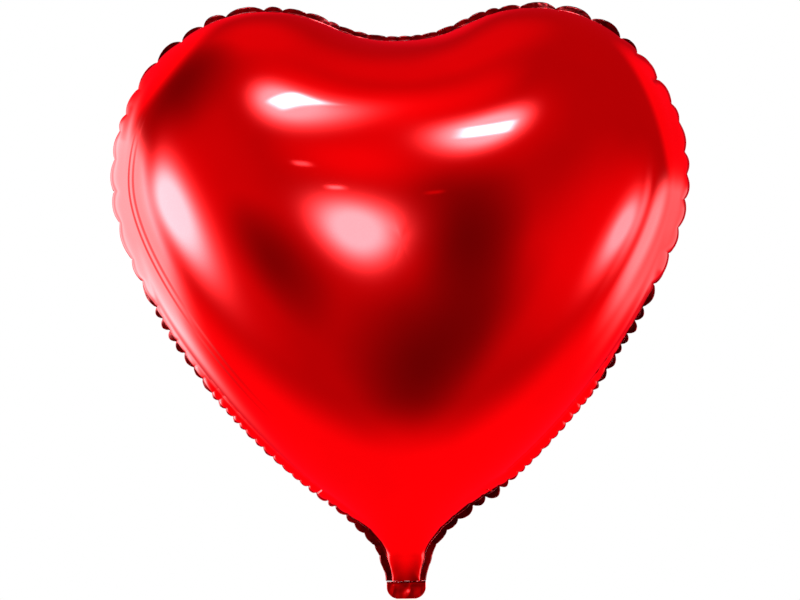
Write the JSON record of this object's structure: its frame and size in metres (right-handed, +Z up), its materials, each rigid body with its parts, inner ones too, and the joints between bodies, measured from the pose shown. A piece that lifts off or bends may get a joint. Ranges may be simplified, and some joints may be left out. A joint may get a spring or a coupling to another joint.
{
  "type": "heart-shaped foil balloon",
  "caption": "Inflated heart of mirror-red foil: two films welded along a scalloped rim, with a short filling tail and a flat film valve inside the neck.",
  "frame": {"origin": "middle of the neck on the weld plane, where the filling tail meets the heart", "axes": "+Z up through the notch, -Y towards the front film, +X across the heart to the right as seen from the front"},
  "size_m": [0.4898, 0.2608, 0.5019],
  "materials": {
    "red_foil": "metallised film, mirror gloss",
    "welded_foil": "metallised film, crinkled by the weld",
    "valve_film": "milky clear film"
  },
  "bodies": {
    "balloon": {"front_panel": "red_foil", "rear_panel": "red_foil", "rim_seam": "welded_foil"},
    "tail": {"tail_front_film": "red_foil", "tail_rear_film": "red_foil", "tail_seam_left": "welded_foil", "tail_seam_right": "welded_foil", "valve_base_weld": "welded_foil"},
    "tail_end": {"tail_end_front_film": "red_foil", "tail_end_rear_film": "red_foil", "tail_end_seam_left": "welded_foil", "tail_end_seam_right": "welded_foil"},
    "valve_front": {"valve_front_film": "valve_film"},
    "valve_rear": {"valve_rear_film": "valve_film"}
  },
  "joints": [
    {"name": "tail_bend", "type": "hinge", "parent": "balloon", "child": "tail", "pos_m": [0, 0, 0], "axis": [1, 0, 0], "range_deg": [-25, 25], "stiffness_Nm_per_rad": 0.001},
    {"name": "tail_end_fold", "type": "hinge", "parent": "tail", "child": "tail_end", "pos_m": [0, 0, -0.02385], "axis": [1, 0, 0], "range_deg": [-90, 90], "stiffness_Nm_per_rad": 0.00002},
    {"name": "valve_front_part", "type": "hinge", "parent": "tail", "child": "valve_front", "pos_m": [0, -0.0003, -0.0206], "axis": [1, 0, 0], "range_deg": [0, 5], "stiffness_Nm_per_rad": 0.0005},
    {"name": "valve_rear_part", "type": "hinge", "parent": "tail", "child": "valve_rear", "pos_m": [0, 0.0003, -0.0206], "axis": [1, 0, 0], "range_deg": [-5, 0], "stiffness_Nm_per_rad": 0.0005}
  ],
  "couplings": [
    {"joint": "valve_rear_part", "follows": "valve_front_part", "ratio": -1}
  ]
}
